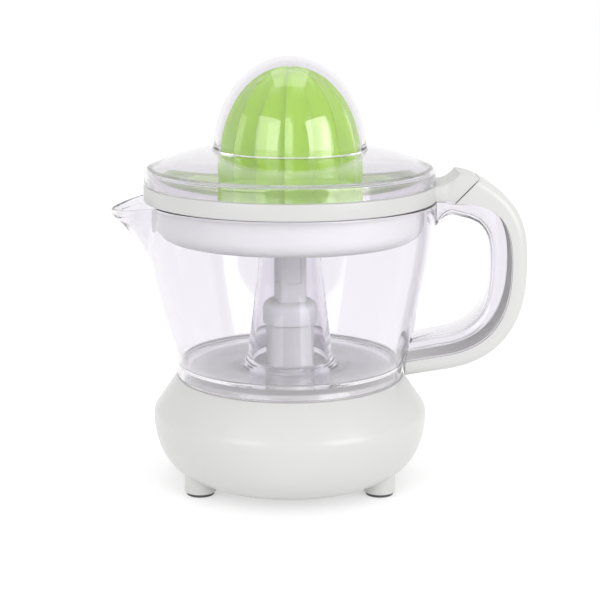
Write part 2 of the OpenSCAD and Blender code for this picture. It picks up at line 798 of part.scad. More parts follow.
// A lead that runs straight between points, with a round bend at each
module lead(points) {
    for (i = [0:len(points) - 2]) {
        v = points[i + 1] - points[i];
        length = norm(v);
        translate(points[i]) rotate([0, acos(v[2] / length), atan2(v[1], v[0])])
            cylinder(r = wire_r, h = length, $fn = 24);
        if (i > 0) translate(points[i]) sphere(r = wire_r, $fn = 24);
    }
}

module lead_wires() {
    front_y = block_y - block_d;
    in_z = block_z + block_in;
    blade_z = switch_z + 6.2 + wire_r;
    out_y = can_r + 2;
    color("sienna") {
        lead([[5, front_y + 6, in_z], [5, front_y - 2, in_z], [button_x, front_y - 2, in_z],
              [button_x, front_y - 2, blade_z], [button_x, switch_l / 2 + 1, blade_z]]);
        lead([[-5, front_y + 6, in_z], [-5, can_r + 0.5, in_z]]);
        lead([[button_x, -switch_l / 2 - 1, blade_z], [button_x, -out_y, blade_z],
              [button_x, -out_y, can_z + 8], [0, -out_y, can_z + 8], [0, -can_r - 0.1, can_z + 8]]);
    }
}

// ---------- motor ----------

module motor_can() {
    color("silver") difference() {
        translate([0, 0, can_z]) cylinder(r = can_r, h = can_h);
        translate([0, 0, can_z + 1.2]) cylinder(r = can_r - can_wall, h = can_h);
    }
}

module coil_bobbin() {
    color("ivory") translate([0, 0, can_z + 1.5]) {
        tube(rotor_r + 2.2, rotor_r + 1.2, 8.2);
        for (z = [0, 7.4]) translate([0, 0, z]) tube(can_r - can_wall - gap, rotor_r + 1.2, 0.8);
    }
}

module coil_winding() {
    color("peru") translate([0, 0, can_z + 2.4]) tube(can_r - can_wall - 1.4, rotor_r + 2.3, 6.4);
}

module rotor_magnet() {
    color("dimgray") translate([0, 0, can_z + 2]) tube(rotor_r, 3.2, 7.4);
}

module rotor_pinion() {
    color("ivory") difference() {
        union() {
            translate([0, 0, can_z + 2]) cylinder(r = 3.2, h = 7.4);
            translate([0, 0, can_z + 9]) cylinder(r = 2.4, h = first_gear_z - can_z - 8.5);
            translate([0, 0, first_gear_z]) gear(pinion_teeth, wheel_t, 0);
        }
        translate([0, 0, can_z]) cylinder(r = axle_r + running, h = 30, $fn = 32);
    }
}

module rotor_axle() {
    foot_z = can_z + 1.2;
    color("silver") translate([0, 0, foot_z])
        cylinder(r = axle_r, h = second_gear_z + 1.6 - foot_z, $fn = 32);
}

module gear_plate() {
    color("silver") difference() {
        translate([0, 0, gear_plate_z]) cylinder(r = can_r - can_wall - 0.1, h = gear_plate_t);
        translate([0, 0, gear_plate_z - cut]) cylinder(r = 3, h = gear_plate_t + 2 * cut);
        translate([gear_distance, 0, gear_plate_z - cut])
            cylinder(r = axle_r, h = gear_plate_t + 2 * cut, $fn = 32);
    }
}

// Half the angle of a tooth at radius rho
function tooth_half(teeth, rho) =
    let (r = gear_module * teeth / 2, base = r * cos(20),
         involute = function (a) tan(a) * 180 / PI - a,
         slack = backlash / 2 / r * 90 / PI * 2)
    90 / teeth - slack / 2 + involute(20) - involute(acos(min(base / max(rho, base), 1)));

module gear(teeth, thickness, turn) {
    r = gear_module * teeth / 2;
    root = r - 1.25 * gear_module;
    flank = [root, max(root, r * cos(20)), r, r + 0.5 * gear_module, r + 0.9 * gear_module];
    rotate(turn) linear_extrude(thickness) polygon([for (k = [0:teeth - 1])
        for (p = concat([for (q = flank) [q, -tooth_half(teeth, q)]],
                        [for (q = reversed(flank)) [q, tooth_half(teeth, q)]]))
            let (a = k * 360 / teeth + p[1]) [p[0] * cos(a), p[0] * sin(a)]]);
}

module idler_gear() {
    color("gold") translate([gear_distance, 0, 0]) difference() {
        union() {
            translate([0, 0, first_gear_z]) gear(wheel_teeth, wheel_t, 180 / wheel_teeth);
            translate([0, 0, first_gear_z + wheel_t - 0.1])
                gear(pinion_teeth, second_gear_z + second_gear_t - first_gear_z - wheel_t + 0.1, 0);
        }
        translate([0, 0, first_gear_z - cut]) cylinder(r = axle_r + running, h = 15, $fn = 32);
    }
}

module idler_pin() {
    color("silver") translate([gear_distance, 0, gear_plate_z])
        cylinder(r = axle_r, h = gear_cover_z + gear_cover_t - gear_plate_z, $fn = 32);
}

module output_gear() {
    color("gold") translate([0, 0, second_gear_z]) difference() {
        gear(wheel_teeth, second_gear_t, 180 / wheel_teeth);
        translate([0, 0, -cut]) cylinder(r = shaft_r, h = second_gear_t + 2 * cut);
    }
}

module output_bush() {
    color("goldenrod") difference() {
        union() {
            translate([0, 0, gear_cover_z - 1]) cylinder(r = shaft_r + 2, h = 6.2);
            translate([0, 0, gear_cover_z + gear_cover_t]) cylinder(r = shaft_r + 4, h = 1);
        }
        translate([0, 0, gear_cover_z - 1 - cut]) cylinder(r = shaft_r + running, h = 6.2 + 2 * cut);
    }
}

module gear_cover() {
    color("silver") difference() {
        union() {
            translate([0, 0, gear_cover_z]) cylinder(r = can_r, h = gear_cover_t);
            translate([-5, -ear_reach, gear_cover_z]) cube([10, 2 * ear_reach, gear_cover_t]);
            ear_places() translate([0, 0, gear_cover_z]) cylinder(r = 5, h = gear_cover_t);
        }
        translate([0, 0, gear_cover_z - cut]) cylinder(r = shaft_r + 2, h = gear_cover_t + 2 * cut);
        translate([gear_distance, 0, gear_cover_z - cut])
            cylinder(r = axle_r, h = gear_cover_t + 2 * cut, $fn = 32);
        ear_places() translate([0, 0, gear_cover_z - cut])
            cylinder(r = screw_r + 0.2, h = gear_cover_t + 2 * cut);
    }
}

module motor_screws() {
    color("silver") ear_places() translate([0, 0, gear_cover_z]) screw(screw_r, screw_head_r, 1.8, 9);
}

dust_cover();
reamer_cone();
strainer();
jug();
handle_grip();
base_housing();
bottom_cover();
rubber_feet();
cover_screws();
drive_spindle();
spindle_circlip();
thrust_washer();
return_spring();
spring_seat();
shaft_clip();
switch_lever();
lever_pin();
microswitch();
switch_button();
switch_terminals();
switch_screws();
terminal_block();
terminal_screws();
lead_wires();
motor_can();
coil_bobbin();
coil_winding();
rotor_magnet();
rotor_pinion();
rotor_axle();
gear_plate();
idler_gear();
idler_pin();
output_gear();
output_shaft();
output_bush();
gear_cover();
motor_screws();
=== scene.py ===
# %% [markdown]
# # A citrus press, piece by piece
# The press is a clear jug on a white motor base, with a strainer, a ribbed green reamer and a
# clear domed cover on top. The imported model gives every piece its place, so each new piece is
# made straight in that frame, in metres, with the spindle's axis at x = y = 0.

# %% The frame
from math import cos, hypot, pi, radians, sin, tau

import bmesh
import bpy
from mathutils import Matrix, Vector
from mathutils.geometry import interpolate_bezier


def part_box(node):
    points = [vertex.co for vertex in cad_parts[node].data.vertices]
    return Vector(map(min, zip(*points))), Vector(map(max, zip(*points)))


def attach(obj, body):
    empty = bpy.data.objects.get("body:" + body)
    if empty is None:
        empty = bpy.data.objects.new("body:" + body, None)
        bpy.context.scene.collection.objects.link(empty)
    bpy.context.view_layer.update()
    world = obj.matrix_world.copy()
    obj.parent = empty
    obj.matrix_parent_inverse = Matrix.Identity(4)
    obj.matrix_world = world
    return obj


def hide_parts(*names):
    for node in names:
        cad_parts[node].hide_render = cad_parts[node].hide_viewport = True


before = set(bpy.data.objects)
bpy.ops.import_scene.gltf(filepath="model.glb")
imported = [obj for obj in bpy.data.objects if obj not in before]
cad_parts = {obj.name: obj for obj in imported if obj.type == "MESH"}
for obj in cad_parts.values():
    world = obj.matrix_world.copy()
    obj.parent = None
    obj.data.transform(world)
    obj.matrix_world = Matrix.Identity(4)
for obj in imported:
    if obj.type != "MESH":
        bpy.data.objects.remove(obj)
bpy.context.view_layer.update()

MM = 0.001

# %% [markdown]
# Every level below comes from the boxes of the CAD nodes, so a piece meets its neighbours
# without any fitting. It could also be typed in, but would then be wrong after a change to
# the CAD. Sizes that a box can't give, such as a wall, are named in millimetres. Where one
# piece stands on another, a play of 0.3 mm is left between them.

# %% Levels and radii in millimetres
def low(node):
    return [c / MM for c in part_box(node)[0]]


def high(node):
    return [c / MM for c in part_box(node)[1]]


play, cover_rise, cone_drop = 0.3, 8.3, 0.8
jug_z, rim_z = low("jug")[2], high("jug")[2]
jug_r = high("jug")[1]
ring_z, basket_z = rim_z + play, low("strainer")[2]
ring_r = high("strainer")[1]
cover_z, cover_r, dome_top = rim_z + cover_rise, high("dust_cover")[0], high("dust_cover")[2]
cone_z, cone_r, cone_top = rim_z - cone_drop, high("reamer_cone")[0], high("reamer_cone")[2]
tower_z, base_r = high("base_housing")[2], high("base_housing")[0]
spindle_top = high("drive_spindle")[2]
collar_r = high("drive_spindle")[0]
handle_x, handle_w = high("handle_grip")[0], high("handle_grip")[1] * 2
spout_x = low("jug")[0]
deck_top = jug_z - play
print(f"rim {rim_z:.1f}, cover top {dome_top:.1f}, handle out to {handle_x:.1f} mm")

# %% [markdown]
# Most pieces of a press are round, because their moulds are cut on a lathe. So the main tool
# is an outline in the XZ plane, its corners rounded by a vertex bevel, and a full spin round Z.
# A Screw modifier could do the same, but the spin leaves points that can still be moved.
# An outline that closes on itself makes a wall with both its faces, ready for glass.

# %% Outlines and turned pieces
def curve(a, b, c, d, steps):
    """Points (x, z) of a Bezier curve from a to d, with b and c as its handles"""
    ends = [Vector((*p, 0)) for p in (a, b, c, d)]
    return [(p.x, p.y) for p in interpolate_bezier(*ends, steps + 1)]


def outline(bm, points, closed=True):
    """Wire edges through (x, z) points in mm; a third number rounds that corner"""
    verts = [bm.verts.new((p[0] * MM, 0, p[1] * MM)) for p in points]
    ends = list(zip(verts, verts[1:] + verts[:1] if closed else verts[1:]))
    for pair in ends:
        bm.edges.new(pair)
    for size in sorted({p[2] for p in points if len(p) > 2}):
        marked = [v for v, p in zip(verts, points) if len(p) > 2 and p[2] == size]
        bmesh.ops.bevel(bm, geom=marked, offset=size * MM, segments=4, profile=0.5,
                        affect="VERTICES", material=-1)


def turned(points, steps=192, closed=True):
    """The outline spun once round the Z axis, its poles closed and its faces outward"""
    bm = bmesh.new()
    outline(bm, points, closed)
    bmesh.ops.spin(bm, geom=bm.verts[:] + bm.edges[:], cent=(0, 0, 0), axis=(0, 0, 1),
                   dvec=(0, 0, 0), angle=tau, steps=steps, use_merge=True, use_duplicate=False)
    bmesh.ops.remove_doubles(bm, verts=bm.verts, dist=1e-6)
    bmesh.ops.dissolve_degenerate(bm, edges=bm.edges, dist=1e-7)
    bmesh.ops.recalc_face_normals(bm, faces=bm.faces)
    return bm


def ramp(distance, span):
    """0 before the start of a span, 1 after its end, and a straight rise between them"""
    return min(max(distance / span, 0), 1)


def join(bm, other):
    """Adds another bmesh's shape to bm"""
    mesh = bpy.data.meshes.new("part")
    other.to_mesh(mesh)
    other.free()
    bm.from_mesh(mesh)
    bpy.data.meshes.remove(mesh)


def finished(name, bm, body, slot, *nodes, crease=32):
    """An object of the bmesh, smooth up to its creases, riding on a body for some CAD nodes"""
    mesh = bpy.data.meshes.new(name)
    bm.to_mesh(mesh)
    bm.free()
    mesh.polygons.foreach_set("use_smooth", [True] * len(mesh.polygons))
    mesh.set_sharp_from_angle(angle=radians(crease))
    piece = bpy.data.objects.new(name, mesh)
    bpy.context.scene.collection.objects.link(piece)
    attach(piece, body)
    if nodes:
        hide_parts(*nodes)
    print(f"{name}: {len(mesh.polygons)} faces on {body}")
    return piece


print("tools: curve, outline, turned, ramp, join, finished")

# %% [markdown]
# ## The jug
# The jug is one injection moulding in clear SAN: a foot ring, a floor, a flared wall and a
# hollow column for the spindle. It could be a surface with a Solidify modifier, but the foot
# and the column need walls of their own. So its section is one closed outline, up the
# outside, over the rim, down the inside and up the column.

# %% The jug's outline
wall, rim_band = 2.2, 10.5
foot_r, plateau_r, floor_z = 56.0, 51.3, jug_z + 5.5
floor_top = floor_z + wall
column_top, column_r, column_foot = rim_z - 8, 14.6, 21.5
column_bend = floor_z + 50


def jug_side(inset):
    """The side from the foot to the straight band under the rim"""
    return curve((foot_r - inset, floor_z + 0.6), (foot_r + 6.1 - inset, floor_z + 18.7),
                 (jug_r - inset, rim_z - 38.5), (jug_r - inset, rim_z - rim_band), 28)


def straight(a, b, steps):
    """The points between a and b, without the two ends"""
    return [(a[0] + (b[0] - a[0]) * i / steps, a[1] + (b[1] - a[1]) * i / steps)
            for i in range(1, steps)]


inside = [p for p in jug_side(wall) if p[1] > floor_top + 2]
jug_outline = (
    [(plateau_r, floor_z), (plateau_r, jug_z, 0.4), (foot_r, jug_z, 0.5)]
    + jug_side(0) + straight((jug_r, rim_z - rim_band), (jug_r, rim_z), 7)
    + [(jug_r, rim_z, 0.6), (jug_r - wall, rim_z, 0.6)]
    + straight((jug_r - wall, rim_z), (jug_r - wall, rim_z - rim_band), 7)
    + inside[::-1]
    + [(inside[0][0] - 0.35, floor_top, 1.2), (column_foot, floor_top, 1.5),
       (column_r + 1, column_bend), (column_r, column_top, 0.6),
       (column_r - wall, column_top, 0.6), (column_r + 1 - wall, column_bend),
       (column_foot - wall, floor_z)])
jug = turned(jug_outline, steps=288)
print("outline points:", len(jug_outline))

# %% [markdown]
# Juice is poured over a beak in the rim. The beak could be a piece of its own, but a joint
# would show in the clear wall, so it is pulled out of the wall. The inner and the outer face
# move by the same amount, and the wall keeps its thickness. The beak is deepest at the lip
# and fades out some 28 mm below it, and its plan is a V with a blunt tip.

# %% Pulling the spout
spout_reach = -spout_x - jug_r
spout_depth, spout_dip, spout_half_angle = 28.0, 4.6, 27.0
dip_depth, full_reach = 12, 5


def pull(v):
    """How far the beak moves a point of the wall outward, in mm"""
    z = v.co.z / MM
    r = hypot(v.co.x, v.co.y)
    if v.co.x > 0 or z < rim_z - spout_depth or r < (jug_r - 6) * MM:
        return 0.0
    rise = ramp(z - rim_z + spout_depth, spout_depth - full_reach)
    # The V is narrower further down, and the powers round its tip and its root
    away = abs(pi - abs(Vector((v.co.x, v.co.y)).angle_signed(Vector((1, 0))))) * 180 / pi
    share = away / (spout_half_angle * max(rise, 0.01) ** 0.45)
    return spout_reach * rise ** 1.15 * max(0, 1 - share ** 1.6)


for v in jug.verts:
    out = pull(v)
    if out > 0:
        r = hypot(v.co.x, v.co.y)
        v.co.xy *= (r + out * MM) / r
        level = ramp(v.co.z / MM - rim_z + dip_depth, dip_depth)
        v.co.z -= spout_dip * MM * (out / spout_reach) ** 1.2 * level
# The beak's root is smoothed where it leaves the wall, and the lip above it stays crisp
root_low, root_high = rim_z - 34, rim_z - 7
beak_root = [v for v in jug.verts
             if v.co.x < -(jug_r - 14) * MM and root_low * MM < v.co.z < root_high * MM
             and hypot(v.co.x, v.co.y) > (jug_r - 7) * MM]
for _ in range(3):
    bmesh.ops.smooth_vert(jug, verts=beak_root, factor=0.5,
                          use_axis_x=True, use_axis_y=True, use_axis_z=True)
print(f"lip reaches x = {min(v.co.x for v in jug.verts) / MM:.1f} mm")

# %% [markdown]
# ## The handle
# The handle is two mouldings: a clear channel that is part of the jug, closed towards the
# fingers, and a white channel that is closed towards the palm. Both follow the same curve,
# so one list of stations serves both. A curve object with a bevel shape could carry a
# section too, but its depth would be the same all along, and this handle is thickest at its
# root. So each station has three points of its own: at the palm, the seam and the fingers.

# %% The handle's curves
handle_t, grip_t, handle_gap = 18.5, 7.5, 0.15
bend_steps, drop_steps = 20, 30
root_extra, root_stations = 2, 6
seam_low = Vector((jug_r + 8.3, rim_z - 1))
seam_high = Vector((jug_r + 20.2, rim_z + 11.3))
palm = [Vector(p) for p in
        curve(seam_high, (jug_r + 37.6, rim_z + 1.5), (handle_x + 0.1, rim_z - 8.5),
              (handle_x, rim_z - 30.5), bend_steps)
        + curve((handle_x, rim_z - 34), (handle_x, rim_z - 66.5), (handle_x - 16.1, rim_z - 81),
                (handle_x - 40.9, jug_z + 3.4), drop_steps)
        + [(foot_r + 1, jug_z + 0.5)]]
seam_curve = [Vector(p) for p in
              curve(seam_low, (jug_r + 28.4, rim_z - 0.5), (handle_x - 8, rim_z - 8.5),
                    (handle_x - grip_t, rim_z - 30.5), bend_steps)]


def inward(i):
    """Unit vector from the palm's side to the fingers' side at station i"""
    along = (palm[min(i + 1, len(palm) - 1)] - palm[max(i - 1, 0)]).normalized()
    return Vector((along.y, -along.x))


seam = seam_curve + [palm[i] + inward(i) * grip_t for i in range(bend_steps + 1, len(palm))]
seam[-1].x = max(seam[-1].x, foot_r + 1)
fingers = [palm[i] + inward(i) * (handle_t + root_extra * max(0, 1 - i / root_stations))
           for i in range(len(palm))]
print("stations:", len(palm))

# %% [markdown]
# A section of the handle is a U. One face in that shape is extruded from station to station,
# and each new face is put in its place by the station's own two points. An extrusion leaves
# the face it started from inside the bar, so that face is taken out, except at the very end.

# %% A section extruded from station to station
def swept(section, near, far):
    """Extrudes a closed section. A section point is (share of the way from near to far,
    mm beyond that share, y in mm)"""
    def place(i, share, beyond, y):
        way = far[i] - near[i]
        p = near[i] + way * share + way.normalized() * beyond
        return Vector((p.x, y, p.y)) * MM
    bm = bmesh.new()
    end = bm.faces.new([bm.verts.new(place(0, *s)) for s in section])
    for i in range(1, len(near)):
        new = bmesh.ops.extrude_face_region(bm, geom=[end])["geom"]
        if i > 1:
            bmesh.ops.delete(bm, geom=[end], context="FACES_ONLY")
        end = [g for g in new if isinstance(g, bmesh.types.BMFace)][0]
        for v, s in zip(end.verts, section):
            v.co = place(i, *s)
    bmesh.ops.recalc_face_normals(bm, faces=bm.faces)
    return bm


def channel(half, wall, corner, steps=5):
    """A U with its closed side at share 0 and its open side at share 1"""
    def arc(r, turn):
        return [(0, corner - r * cos(a), r * sin(a))
                for a in (turn * radians(90) * i / steps for i in range(steps + 1))]
    outer = [(s, b, half - corner + y) for s, b, y in arc(corner, 1)]
    inner = [(s, b, half - corner + y) for s, b, y in arc(corner - wall, 1)]
    side = outer + [(1, 0, half), (1, 0, half - wall)] + inner[::-1]
    return side + [(s, b, -y) for s, b, y in side[::-1]]


channel_wall, clear_corner, grip_corner = 2.4, 5.0, 4.5
print("points in a section:", len(channel(handle_w / 2, channel_wall, grip_corner)))

# %% [markdown]
# The clear channel grows out of the jug's wall under the thumb tab. Its first stations stand
# there, each as (fingers' side, open side), and the handle's own stations go on from them.
# A boolean could fuse it with the jug, but tends to leave slivers in a curved glass wall. So
# the two overlap, and no station lies further in than the middle of the wall.

# %% The clear channel and the jug as one piece
clear_inset, first = 1.5, 3
roots = [((jug_r - 0.4, rim_z - 12.5), (jug_r - 0.7, rim_z - 0.3)),
         ((jug_r + 1.4, rim_z - 9.9), (jug_r + 1.8, rim_z - 0.3)),
         ((jug_r + 4.0, rim_z - 7.8), (jug_r + 4.2, rim_z - 0.6)),
         ((jug_r + 7.6, rim_z - 6.8), (jug_r + 6.8, rim_z - 1.4))]
clear_near = [Vector(near) for near, far in roots] + fingers[first:]
clear_far = [Vector(far) for near, far in roots] + [
    seam[i] + (fingers[i] - seam[i]).normalized() * handle_gap for i in range(first, len(palm))]
for p in clear_near + clear_far:
    wall_x = min(jug_side(wall / 2), key=lambda q: abs(q[1] - p.y))[0]
    p.x = max(p.x, wall_x)
clear_section = channel(handle_w / 2 - clear_inset, channel_wall, clear_corner)
join(jug, swept(clear_section, clear_near, clear_far))
jug_piece = finished("juice_jug", jug, "jug", "clear_san", "jug")

# %% [markdown]
# The grip is a channel in glossy white ABS that is pushed over the clear one. Its outer edges
# are rounded for the palm. Its end at the strainer's side stands on the slanted seam, where
# the thumb tab meets it.

# %% The white grip
grip = swept(channel(handle_w / 2, channel_wall, grip_corner), palm, seam)
grip_piece = finished("palm_grip", grip, "jug", "white_abs", "handle_grip")

# %% [markdown]
# ## The strainer
# A white ring lies on the jug's rim, and a basket hangs in it with a slotted floor and a hub
# that goes round the jug's column. The outline has extra points in the floor, where each row
# of slots starts and ends, so that the spin leaves faces of the slots' own length.

# %% The strainer's outline
hub_in, hub_out, hub_top = 16.0, 18.0, rim_z - 2.5
basket_r, basket_wall, basket_corner = 65.6, 2.0, 8.0
ring_top, ring_wall = cover_z - play, 2.8
slot_ends = [23.0, 37.0, 39.0, 53.0]
strainer_outline = (
    [(hub_in, basket_z, 0.4)] + [(r, basket_z) for r in slot_ends]
    + [(basket_r, basket_z, basket_corner), (basket_r, ring_z, 0.5), (ring_r, ring_z, 0.4),
       (ring_r, ring_top, 0.9), (ring_r - ring_wall, ring_top, 0.5),
       (ring_r - ring_wall, ring_z + 2.5, 0.8),
       (basket_r - basket_wall, ring_z + 1, 0.8),
       (basket_r - basket_wall, basket_z + basket_wall, basket_corner - 2)]
    + [(r, basket_z + basket_wall) for r in slot_ends[::-1]]
    + [(hub_out, basket_z + basket_wall, 1.0), (hub_out, hub_top, 0.5), (hub_in, hub_top, 0.5)])
slot_count, slot_w, steps_per_slot = 30, 1.8, 8
strainer = turned(strainer_outline, steps=slot_count * steps_per_slot)
print("strainer faces:", len(strainer.faces))

# %% [markdown]
# The slots let the juice through and hold the pulp back. Sixty booleans would be slow and
# would leave long thin faces. Instead the faces of a slot are taken out of both sides of the
# floor, after their edges have been moved parallel, and the two rims are bridged.

# %% Cutting the slots
def slot_of(p):
    """(number of the nearest slot, distance along it, distance from its middle line) in mm"""
    turn = Vector((1, 0)).angle_signed(Vector((p.x, p.y))) if p.xy.length else 0
    number = round(-turn / tau * slot_count) % slot_count
    flat = Matrix.Rotation(-number * tau / slot_count, 3, "Z") @ p
    return number, flat.x / MM, flat.y / MM


floor_mid, floor_reach = (basket_z + basket_wall / 2) * MM, 1.2
step_half = pi / (slot_count * steps_per_slot)
middle_ring = (slot_ends[1] + slot_ends[2]) / 2
cuts = {}
for f in strainer.faces:
    centre = f.calc_center_median()
    number, along, across = slot_of(centre)
    in_row = any(a < along < b for a, b in (slot_ends[:2], slot_ends[2:]))
    in_floor = abs(centre.z - floor_mid) < floor_reach * MM
    if in_row and in_floor and abs(across) < along * step_half * 1.5:
        cuts.setdefault((number, along > middle_ring), []).append(f)
for faces in cuts.values():
    for v in {v for f in faces for v in f.verts}:
        number, along, across = slot_of(v.co)
        if abs(across) > 0.1:
            spot = Vector((along * MM, slot_w / 2 * MM * (1 if across > 0 else -1), v.co.z))
            v.co = Matrix.Rotation(number * tau / slot_count, 3, "Z") @ spot
rims = [{e for f in faces for e in f.edges if sum(g in faces for g in e.link_faces) == 1}
        for faces in cuts.values()]
bmesh.ops.delete(strainer, geom=[f for faces in cuts.values() for f in faces], context="FACES")
for rim in rims:
    bmesh.ops.bridge_loops(strainer, edges=[e for e in rim if e.is_valid])
print("slots cut:", len(cuts))

# %% [markdown]
# The thumb tab bridges from the ring to the grip. Its top is a hollow for the thumb, and its
# sides spread into the ring. A box pushed about would lose the hollow's curve, so the tab
# starts as its side outline, is given its width in steps, and the points near the ring are
# moved outward.

# %% The thumb tab
tab_top, seam_gap = ring_top + 6, 0.45
tab_spread, tab_sweep, tab_fade = 0.34, 0.22, 9
tab_points = (
    [(ring_r - 1.6, ring_z + 0.4), (ring_r - 1.6, ring_top - 0.2), (cover_r + 0.3, ring_top)]
    + curve((jug_r + 0.4, ring_top + 0.3), (jug_r + 4, ring_top + 0.7),
            (jug_r + 7.5, ring_top + 2.6), (jug_r + 9.9, tab_top), 8)
    + curve((jug_r + 10.6, tab_top), (jug_r + 15, tab_top - 0.8),
            (jug_r + 17, tab_top - 1.5), (seam_high.x - seam_gap, seam_high.y), 6)
    + [(seam_low.x - seam_gap, seam_low.y), (seam_low.x - 4, ring_z)])
tab = bmesh.new()
outline(tab, tab_points)
side = bmesh.ops.contextual_create(tab, geom=tab.edges[:])["faces"]
bmesh.ops.translate(tab, verts=tab.verts, vec=(0, -handle_w / 2 * MM, 0))
width_steps = 12
for step in range(width_steps):
    new = bmesh.ops.extrude_face_region(tab, geom=side)["geom"]
    if step > 0:
        bmesh.ops.delete(tab, geom=side, context="FACES_ONLY")
    side = [g for g in new if isinstance(g, bmesh.types.BMFace)]
    bmesh.ops.translate(tab, verts=[v for v in side[0].verts],
                        vec=(0, handle_w / width_steps * MM, 0))
bmesh.ops.recalc_face_normals(tab, faces=tab.faces)
for v in tab.verts:
    near_ring = 1 - ramp(v.co.x / MM - jug_r + 2, tab_fade)
    v.co.y *= 1 + tab_spread * near_ring ** 2
    v.co.x -= max(0, abs(v.co.y) / MM - tab_fade) * tab_sweep * MM * (near_ring > 0.7)
edges = [e for e in tab.edges if e.is_manifold and e.calc_face_angle(0) > radians(60)]
bmesh.ops.bevel(tab, geom=edges, offset=0.7 * MM, segments=3, profile=0.5,
                affect="EDGES", material=-1)
join(strainer, tab)
strainer_piece = finished("strainer_basket", strainer, "strainer", "white_pp", "strainer")

# %% [markdown]
# ## The reamer
# Eight long ribs meet at the apex and eight shorter ones stand between them, with hollow
# flutes from rib to rib, which press the fruit and lead the juice down. Ribs laid on a smooth
# cone would stand on it with a hard corner. So a smooth cone is spun with many steps, and
# each point then moves out towards the rib's crest by how near it stands to a rib.

# %% The ribbed cone
rib_count, rib_h, rib_turn = 16, 2.0, radians(-4)
cone_body = cone_r - rib_h
cone_side, cone_power, cone_wall = cone_z + 11.5, 2.3, 2.0
cone_rows, skirt_rows = 40, 6
steps_per_rib, rib_sharpness, short_rib_end, short_rib_fade = 22, 2.6, 14, 8


def cone_point(u, r, top):
    """A point of the side: u is the share of the height, r the radius where the side starts"""
    return Vector((r * (1 - min(u, 1) ** cone_power) ** 0.5, cone_side + (top - cone_side) * u))


body_line = [cone_point(sin(radians(90) * i / cone_rows), cone_body, cone_top - 1)
             for i in range(cone_rows + 1)]
crest_line = [cone_point(sin(radians(90) * i / cone_rows), cone_r, cone_top)
              for i in range(cone_rows + 1)]
skirt = [Vector((cone_body, cone_z + 2.6 + (cone_side - cone_z - 2.6) * i / skirt_rows))
         for i in range(skirt_rows)]
skirt_crest = [Vector((cone_r - 0.1, p.y)) for p in skirt]
foot = [Vector((cone_r, cone_z)), Vector((cone_r, cone_z + 1.6)),
        Vector((cone_r - 0.6, cone_z + 2.2))]
body_line, crest_line = foot + skirt + body_line, foot + skirt_crest + crest_line
cone = bmesh.new()
outline(cone, [tuple(p) for p in body_line], closed=False)
# Each point remembers its row, and the spin hands the number on to every copy of the point
row_layer = cone.verts.layers.int.new("row")
for i, v in enumerate(cone.verts):
    v[row_layer] = i
bmesh.ops.spin(cone, geom=cone.verts[:] + cone.edges[:], cent=(0, 0, 0), axis=(0, 0, 1),
               dvec=(0, 0, 0), angle=tau, steps=rib_count * steps_per_rib,
               use_merge=True, use_duplicate=False)


def rib_share(angle, row):
    """How far a point has moved from the body to the crest: 1 on a rib, 0 in a flute"""
    turn = (angle + pi / 2 - rib_turn) / (tau / rib_count)
    beside = abs(turn - round(turn)) * 2
    share = (1 - beside) ** rib_sharpness
    if round(turn) % 2:
        share *= ramp(len(body_line) - short_rib_end - row, short_rib_fade)
    return share


for v in cone.verts:
    row = v[row_layer]
    if row >= len(foot) and row < len(body_line) - 1:
        angle = Vector((1, 0)).angle_signed(v.co.xy) * -1
        p = body_line[row].lerp(crest_line[row], rib_share(angle, row))
        v.co.xy *= p.x * MM / max(v.co.xy.length, 1e-9)
        v.co.z = p.y * MM
bmesh.ops.remove_doubles(cone, verts=cone.verts, dist=1e-6)
bmesh.ops.recalc_face_normals(cone, faces=cone.faces)
print("cone faces:", len(cone.faces))

# %% [markdown]
# The cone is a shell of 2 mm. A Solidify modifier gives the wall, because a second copy of
# the ribs would have to be moved in by hand. The even offset stays off: it would throw the
# points at the sharp crests too far.

# %% The reamer's shell
shell_piece = finished("reamer_shell", cone, "reamer", "green_san", "reamer_cone", crease=50)
shell_wall = shell_piece.modifiers.new("wall", "SOLIDIFY")
shell_wall.thickness, shell_wall.offset = cone_wall * MM, -1
shell_wall.use_even_offset = False

# %% [markdown]
# Inside the cone a socket goes down over the spindle's flats, and turns with it. Four webs
# hold it. They are of the same moulding as the cone, but the Solidify modifier would thicken
# them too, so socket and webs are a piece of their own.

# %% The drive socket and its webs
socket_low, socket_top, socket_r = rim_z - 22, spindle_top + 14, 10.6
bore_r, socket_roof, web_t = 8.7, 12.5, 1.6
web_in, web_out, web_shoulder = socket_r - 0.4, cone_body - 2.3, cone_body - 4.6
socket = turned([(bore_r, socket_low, 0.3), (socket_r, socket_low, 0.3),
                 (socket_r, socket_top, 0.8), (0, socket_top), (0, socket_top - socket_roof),
                 (bore_r, socket_top - socket_roof)], steps=96)
for turn in range(4):
    web = bmesh.new()
    outline(web, [(web_in, cone_z + 2), (web_out, cone_z + 2), (web_out, cone_side + 4),
                  (web_shoulder, cone_side + 18), (web_in, socket_top - 1)])
    face = bmesh.ops.contextual_create(web, geom=web.edges[:])["faces"]
    bmesh.ops.translate(web, verts=web.verts, vec=(0, -web_t / 2 * MM, 0))
    new = bmesh.ops.extrude_face_region(web, geom=face)["geom"]
    bmesh.ops.translate(web, verts=[g for g in new if isinstance(g, bmesh.types.BMVert)],
                        vec=(0, web_t * MM, 0))
    bmesh.ops.recalc_face_normals(web, faces=web.faces)
    bmesh.ops.rotate(web, verts=web.verts, cent=(0, 0, 0),
                     matrix=Matrix.Rotation(turn * tau / 4 + pi / 4 + rib_turn, 3, "Z"))
    join(socket, web)
socket_piece = finished("reamer_socket", socket, "reamer", "green_san")

# %% [markdown]
# ## The dust cover
# The cover is a thin clear moulding: an upright rim with a rounded edge, a gently sloping
# top and an egg-shaped dome. A lip inside the rim drops into the strainer and centres it.
# The same line is drawn twice, once for the outside and once 1.8 mm further in, and the lip
# interrupts the inner one.

